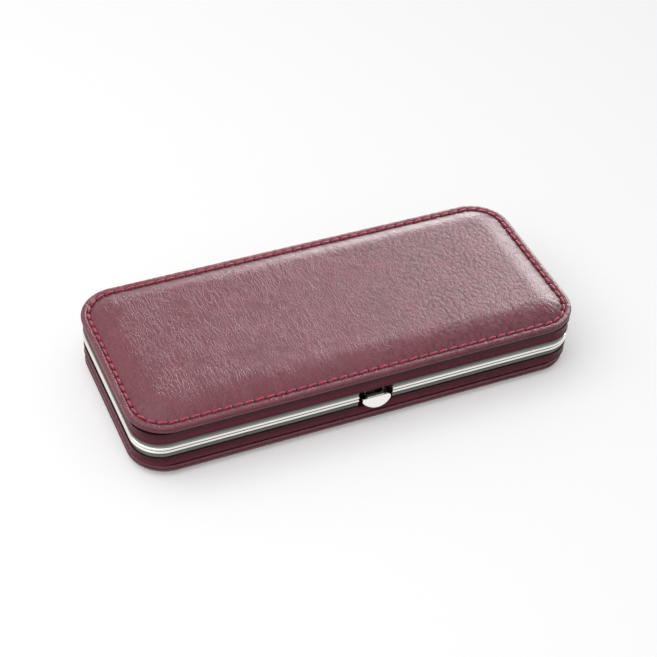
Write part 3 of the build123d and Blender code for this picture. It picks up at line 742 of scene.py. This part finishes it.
def stitches(half, leather, stitch):
    """Every stitch of one seam, lying slanted in its channel, its ends going down into the holes."""
    low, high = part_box(f"{half}_stitching")
    up = 1 if half == "lid" else -1
    thread = stitch.thread / MM
    level = (low[2] + high[2]) / 2 / MM + up * (thread * STITCH_LIFT)
    edge = cover_outline(half, leather)
    path_radius = edge.radius - stitch.inset / MM
    pitch = quarter_length(edge, stitch.inset / MM) / stitch.per_quarter
    master = master_stitch(pitch, thread)
    copies = []
    for quarter, (sign_x, sign_y) in enumerate(QUARTER_SIGNS):
        for index in range(stitch.per_quarter):
            x, y, heading = seam_place(edge, path_radius, (index + 0.5) * pitch)
            direction = Vector((math.cos(heading) * sign_x, math.sin(heading) * sign_y))
            if sign_x * sign_y < 0:
                direction = -direction
            angle = math.atan2(direction.y, direction.x)
            uneven = noise.noise(Vector((index * 1.7, quarter * 9.1, 0)))
            slant = SLANT + SLANT_SPREAD * uneven
            copy = master.copy()
            copy.data = master.data.copy()
            bpy.context.scene.collection.objects.link(copy)
            stretch = (1 + LENGTH_SPREAD * uneven, 1 - WIDTH_SPREAD * uneven, up, 1)
            copy.matrix_world = (Matrix.Translation((x * sign_x, y * sign_y, level))
                                 @ Matrix.Rotation(angle + slant, 4, "Z") @ Matrix.Diagonal(stretch))
            copies.append(copy)
    bpy.data.objects.remove(master)
    clear_selection()
    for copy in copies:
        copy.select_set(True)
    bpy.context.view_layer.objects.active = copies[0]
    bpy.ops.object.join()
    piece = bpy.context.object
    piece.name = f"{half}_stitches"
    bpy.ops.object.transform_apply(location=True, rotation=True, scale=True)
    edit(piece)
    bpy.ops.mesh.select_all(action="SELECT")
    bpy.ops.mesh.normals_make_consistent(inside=False)
    bpy.ops.object.mode_set(mode="OBJECT")
    return piece


# ---- operators

class CASE_OT_covers(bpy.types.Operator):
    """Build the padded leather covers"""
    bl_idname = "case.covers"
    bl_label = "Leather covers"

    def execute(self, context):
        leather, stitch = context.scene.case_leather, context.scene.case_stitch
        seams = [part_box("lid_backing")[1][2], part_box("base_backing")[0][2]]
        # painted shade along the join between each cover and its lower layer
        material = grained_nappa("grained_nappa_leather", tuple(leather.colour), painted_shade_joins=seams)
        for half in ("lid", "base"):
            piece = leather_cover(half, leather, stitch)
            finish_piece(piece, material, half)
            bpy.context.view_layer.objects.active = piece
            piece.select_set(True)
            bpy.ops.object.shade_smooth_by_angle(angle=math.radians(50))
            clear_selection()
            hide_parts(f"{half}_cover")
        return {"FINISHED"}


class CASE_OT_stitches(bpy.types.Operator):
    """Sew the seam round each cover"""
    bl_idname = "case.stitches"
    bl_label = "Stitches"

    def execute(self, context):
        leather, stitch = context.scene.case_leather, context.scene.case_stitch
        material = bonded_thread("bonded_nylon_thread", tuple(stitch.colour))
        for half in ("lid", "base"):
            piece = stitches(half, leather, stitch)
            finish_piece(piece, material, half)
            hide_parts(f"{half}_stitching")
        return {"FINISHED"}


class CASE_OT_bands(bpy.types.Operator):
    """Dress the leather walls and the lower leather layer"""
    bl_idname = "case.bands"
    bl_label = "Leather bands"

    def execute(self, context):
        leather = context.scene.case_leather
        colour, edge_colour = tuple(leather.wall_colour_and_shade), tuple(leather.colour)
        for half in ("lid", "base"):
            low, high = (corner[2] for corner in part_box(f"{half}_backing"))
            glued_edge = low if half == "lid" else high
            # painted shade along the lower layer's join with the wall
            layer = grained_nappa(f"{half}_skived_nappa_leather", edge_colour, painted_shade_joins=(glued_edge,),
                                  cell=0.6, relief=0.08 * MM, gloss=0.3, crest_paleness_and_sheen=1.5)
            dress([f"{half}_backing"], layer)
            frame_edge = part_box(f"{half}_rim")[1 if half == "lid" else 0][2]
            # painted light on each wall: a painted highlight at its lower edge and painted shade up
            # towards the flange on the lid, towards the frame on the base
            painted_light_heights = (frame_edge, low - 0.6 * MM) if half == "lid" else (high + 0.5 * MM, frame_edge)
            strip = grained_nappa(f"{half}_wall_nappa_leather", colour, painted_light_heights=painted_light_heights, cell=0.6,
                                  relief=0.08 * MM, gloss=0.1, crest_paleness_and_sheen=0.3)
            dress([f"{half}_wall"], strip)
        return {"FINISHED"}


class CASE_OT_metal(bpy.types.Operator):
    """Dress the rims, hinge and clasp"""
    bl_idname = "case.metal"
    bl_label = "Nickel frame"

    def execute(self, context):
        dress(["lid_rim", "base_rim"], nickel_frame("drawn_nickel_frame"))
        plated = polished_nickel("nickel_plated_steel")
        dress([name for name in nodes if "hinge" in name or "rivets" in name], plated)
        dress(["latch_keeper", "clasp_bracket", "clasp_pivot_pin"], plated)
        dress(["clasp_tab"], polished_nickel("burnished_nickel_tab", colour="F0EEEA", roughness=0.3))
        # darker than the nickel: partly the tempered spring steel's own grey, partly painted shade in the
        # clasp's notch
        spring = polished_nickel("spring_steel_and_notch_shade", colour="6C6B68", roughness=0.3)
        dress(["clasp_lever", "clasp_spring"], spring)
        return {"FINISHED"}


class CASE_OT_lining(bpy.types.Operator):
    """Dress the trays, the tool board and the loops"""
    bl_idname = "case.lining"
    bl_label = "Suede lining"

    def execute(self, context):
        dress(["lid_tray", "base_tray", "tool_board"], suede("split_suede", linear("8A6A60")))
        loops = grained_nappa("loop_nappa_leather", linear("5E2E38"), cell=0.6, relief=0.06 * MM)
        dress([name for name in nodes if name.endswith("_loop")], loops)
        board = suede("fibre_board", linear("B9A68C"))
        dress(["lid_board", "base_board", "lid_padding", "base_padding"], board)
        return {"FINISHED"}


class CASE_OT_tools(bpy.types.Operator):
    """Dress the manicure tools"""
    bl_idname = "case.tools"
    bl_label = "Tools"

    def execute(self, context):
        steel = polished_nickel("polished_tool_steel", colour="CFCFCD", roughness=0.2)
        steel_parts = ("scissors_b", "scissors_s", "tweezers_a", "cuticle")
        dress([name for name in nodes if name.startswith(steel_parts)], steel)
        dress(["nail_file"], cut_file_steel("cut_file_steel"))
        dress(["nail_file_handle"], moulded_grip("moulded_acetate_grip", linear("6A2634")))
        return {"FINISHED"}


# Side and place in metres; each sheen panel also has its share of the panels' power.
KEY_SIDE, KEY_PLACE = 0.8, (-0.3, 0.0, 0.62)
SHEEN_PANELS = (("sheen_panel_right", 1.7, 0.3, (0.56, 0.49, 0.43)),
                ("sheen_panel_low", 1.0, 0.26, (0.32, 0.62, 0.08)),
                ("sheen_panel_side", 0.8, 0.22, (0.64, 0.38, 0.15)))


class CASE_OT_stage(bpy.types.Operator):
    """Set up the floor, the lights and the camera"""
    bl_idname = "case.stage"
    bl_label = "Stage"

    def execute(self, context):
        stage = context.scene.case_stage
        floor = white_floor()
        room_light(stage.world_level)
        softbox("key_softbox", stage.key_power, KEY_SIDE, KEY_PLACE)
        for name, share, side, place in SHEEN_PANELS:
            panel = softbox(name, share * stage.sheen_power, side, place)
            panel.visible_diffuse = False
        camera(stage)
        context.scene.view_settings.view_transform = "Standard"
        return {"FINISHED"}


# ---- stage

def seen_directly(tree):
    """1 for rays from the camera, a mirror or glass; 0 for those that only light a surface."""
    path = add(tree, "LightPath")
    either = add(tree, "Math", {0: path.outputs["Is Camera Ray"], 1: path.outputs["Is Glossy Ray"]},
                 operation="MAXIMUM")
    either = add(tree, "Math", {0: either.outputs[0], 1: path.outputs["Is Transmission Ray"]},
                 operation="MAXIMUM")
    return either.outputs[0]


FLOOR_SIDE = 6.0
# The floor's glow grows between two distances from the case, in metres, from one level to the other.
GLOW_DISTANCES, GLOW_LEVELS = (0.3, 1.6), (0.25, 0.6)


def white_floor():
    """A matt white sheet; its own glow for direct rays brings it to white where no shadow falls.

    The glow grows outwards, past the softbox's light. To other rays the sheet is greyer, so that it
    throws back less light under the case."""
    clear_selection()
    bpy.ops.mesh.primitive_plane_add(size=FLOOR_SIDE, location=(0, 0, 0))
    floor = bpy.context.object
    floor.name = "floor"
    material, tree, shader = new_material("matt_white_paper", Roughness=0.9, Specular_IOR_Level=0.0,
                                          Emission_Color=(1, 1, 1, 1))
    direct = seen_directly(tree)
    greyer, paper = opaque(linear("CCCCCC")), opaque(linear("E2E2E2"))
    sheet = add(tree, "Mix", {"Factor": direct, "A": greyer, "B": paper}, data_type="RGBA")
    tree.links.new(sheet.outputs["Result"], shader.inputs["Base Color"])
    distance = add(tree, "VectorMath", {0: object_place(tree)}, operation="LENGTH").outputs["Value"]
    (near, far), (weak, strong) = GLOW_DISTANCES, GLOW_LEVELS
    outward = add(tree, "MapRange", {"Value": distance, "From Min": near, "From Max": far, "To Min": weak,
                                     "To Max": strong}).outputs["Result"]
    tree.links.new(product(tree, direct, outward), shader.inputs["Emission Strength"])
    set_material(floor, material)
    return floor


def room_light(level):
    """An even white room: full white where it is seen, softer where it lights."""
    world = bpy.data.worlds.new("white_room")
    bpy.context.scene.world = world
    world.use_nodes = True
    tree = world.node_tree
    tree.nodes.clear()
    strength = add(tree, "MapRange", {"Value": seen_directly(tree), "To Min": level, "To Max": 1.0})
    back = add(tree, "Background", {"Color": (1, 1, 1, 1), "Strength": strength.outputs["Result"]})
    add(tree, "OutputWorld", {"Surface": back.outputs["Background"]})


def softbox(name, power, side, place):
    """A square area lamp aimed at the case."""
    lamp = bpy.data.lights.new(name, "AREA")
    lamp.energy = power
    lamp.size = side
    lit = bpy.data.objects.new(name, lamp)
    bpy.context.scene.collection.objects.link(lit)
    lit.location = place
    aim = Vector((0, 0, PARTING_HEIGHT)) - Vector(place)
    lit.rotation_euler = aim.to_track_quat("-Z", "Y").to_euler()
    return lit


# Millimetres to the right of the middle of the case, and above it, at the middle of the view.
VIEW_OFFSET = (0.22, 0.76)


def camera(stage):
    """Look at the case from its front left."""
    back = Vector((math.sin(stage.azimuth) * math.cos(stage.elevation),
                   -math.cos(stage.azimuth) * math.cos(stage.elevation), math.sin(stage.elevation)))
    right = Vector((math.cos(stage.azimuth), math.sin(stage.azimuth), 0))
    up = back.cross(right)
    turn = Matrix.Rotation(stage.roll, 3, back)
    right, up = turn @ right, turn @ up
    aim = Vector((0, 0, PARTING_HEIGHT)) + right * VIEW_OFFSET[0] * MM + up * VIEW_OFFSET[1] * MM
    data = bpy.data.cameras.new("view")
    data.lens = stage.lens
    data.sensor_width = 36.0
    data.clip_start = 0.01
    seen_from = bpy.data.objects.new("view", data)
    bpy.context.scene.collection.objects.link(seen_from)
    axes = Matrix((right, up, back)).transposed().to_4x4()
    seen_from.matrix_world = Matrix.Translation(aim + back * stage.distance) @ axes
    bpy.context.scene.camera = seen_from


# ---- panel, registration and the run

OPERATORS = (CASE_OT_covers, CASE_OT_stitches, CASE_OT_bands, CASE_OT_metal, CASE_OT_lining,
             CASE_OT_tools, CASE_OT_stage)


class CASE_PT_dressing(bpy.types.Panel):
    """Lists the settings, then the steps in the order they run"""
    bl_label = "Manicure case"
    bl_idname = "CASE_PT_dressing"
    bl_space_type = "VIEW_3D"
    bl_region_type = "UI"
    bl_category = "Manicure case"

    def draw(self, context):
        for group in (context.scene.case_leather, context.scene.case_stitch, context.scene.case_stage):
            box = self.layout.box()
            for name in group.__annotations__:
                box.prop(group, name)
        for operator in OPERATORS:
            self.layout.operator(operator.bl_idname)


SETTINGS = {"case_leather": LeatherSettings, "case_stitch": StitchSettings, "case_stage": StageSettings}


def register():
    for group in SETTINGS.values():
        bpy.utils.register_class(group)
    for operator in OPERATORS:
        bpy.utils.register_class(operator)
    bpy.utils.register_class(CASE_PT_dressing)
    for name, group in SETTINGS.items():
        setattr(bpy.types.Scene, name, bpy.props.PointerProperty(type=group))


def unregister():
    for name in SETTINGS:
        delattr(bpy.types.Scene, name)
    bpy.utils.unregister_class(CASE_PT_dressing)
    for operator in reversed(OPERATORS):
        bpy.utils.unregister_class(operator)
    for group in SETTINGS.values():
        bpy.utils.unregister_class(group)


def main():
    """Dress the case."""
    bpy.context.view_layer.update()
    register()
    for operator in OPERATORS:
        module, name = operator.bl_idname.split(".")
        getattr(getattr(bpy.ops, module), name)()


if __name__ == "__main__":
    main()
